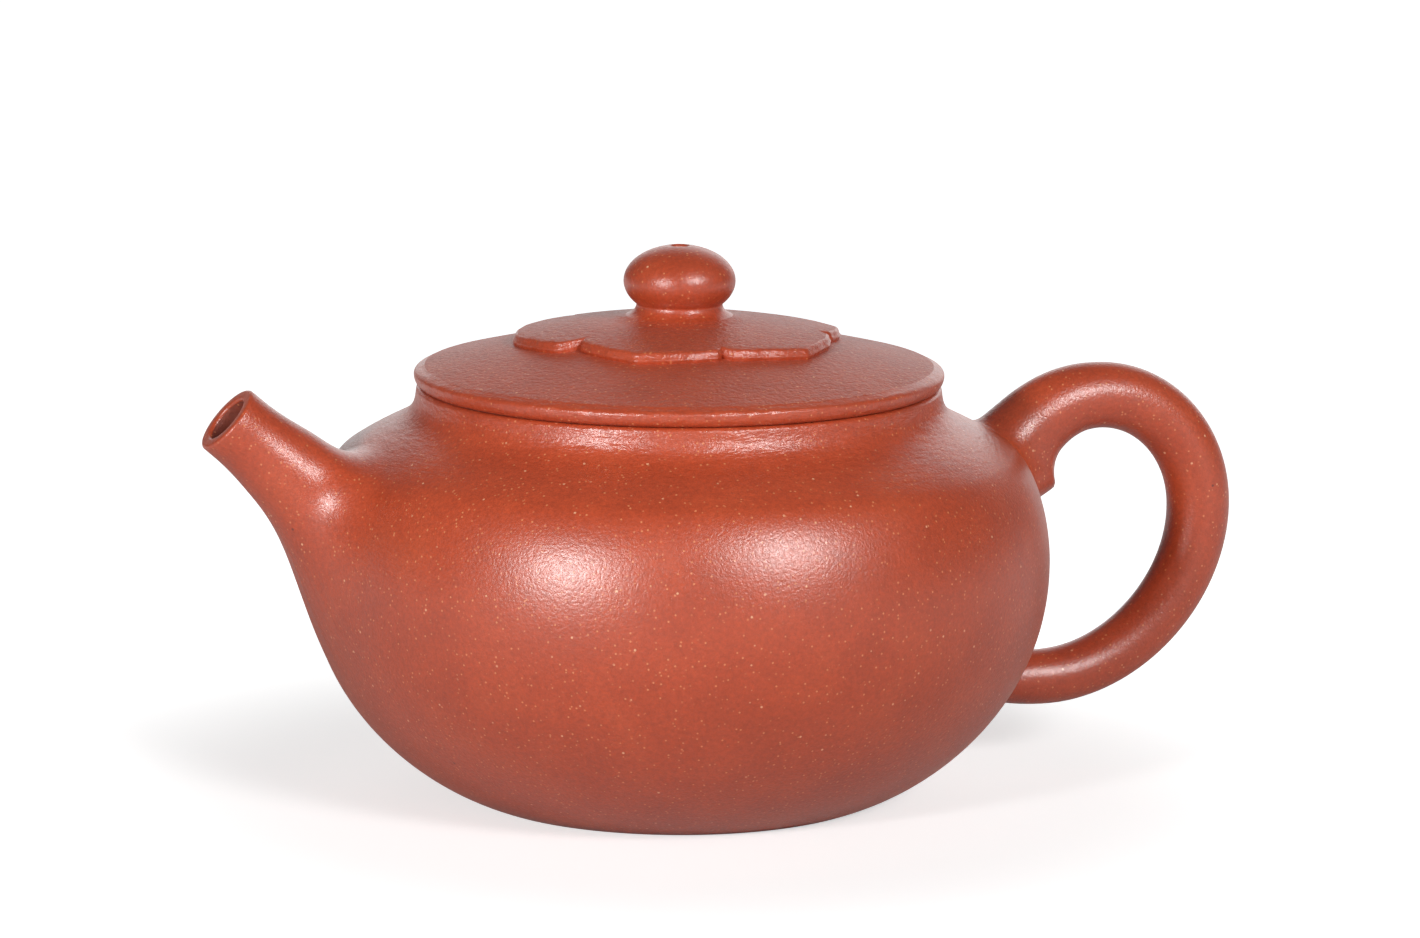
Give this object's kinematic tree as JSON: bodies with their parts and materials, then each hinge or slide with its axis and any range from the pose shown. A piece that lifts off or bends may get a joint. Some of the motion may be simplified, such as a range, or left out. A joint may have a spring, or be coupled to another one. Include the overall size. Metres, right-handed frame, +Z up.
{
  "type": "clay teapot",
  "caption": "Round-bellied unglazed clay teapot with a straight spout, an ear handle and a lifting lid under a lobed leaf and ball knob.",
  "frame": {"origin": "centre of the foot, on the surface that the pot stands on", "axes": "+Z up along the pot's axis, +X towards the handle, -X towards the spout, -Y towards the viewer"},
  "size_m": [0.1509, 0.104, 0.0772],
  "materials": {
    "pot_clay": "unglazed fired red clay, burnished to a low sheen",
    "lid_clay": "unglazed fired red clay, fine matt grain on the dome",
    "inner_clay": "unglazed fired red clay, as scraped"
  },
  "bodies": {
    "pot": {"base_disc": "pot_clay", "body_wall": "pot_clay", "shoulder_disc": "pot_clay", "neck_ring": "pot_clay", "strainer": "inner_clay", "spout": "pot_clay", "handle": "pot_clay"},
    "lid": {"seat_ring": "lid_clay", "lid_flange": "inner_clay", "lid_dome": "lid_clay", "calyx": "lid_clay", "knob": "lid_clay"}
  },
  "joints": [
    {"name": "lid_lift", "type": "slide", "parent": "pot", "child": "lid", "axis": [0, 0, 1], "range_m": [0, 0.05]}
  ]
}
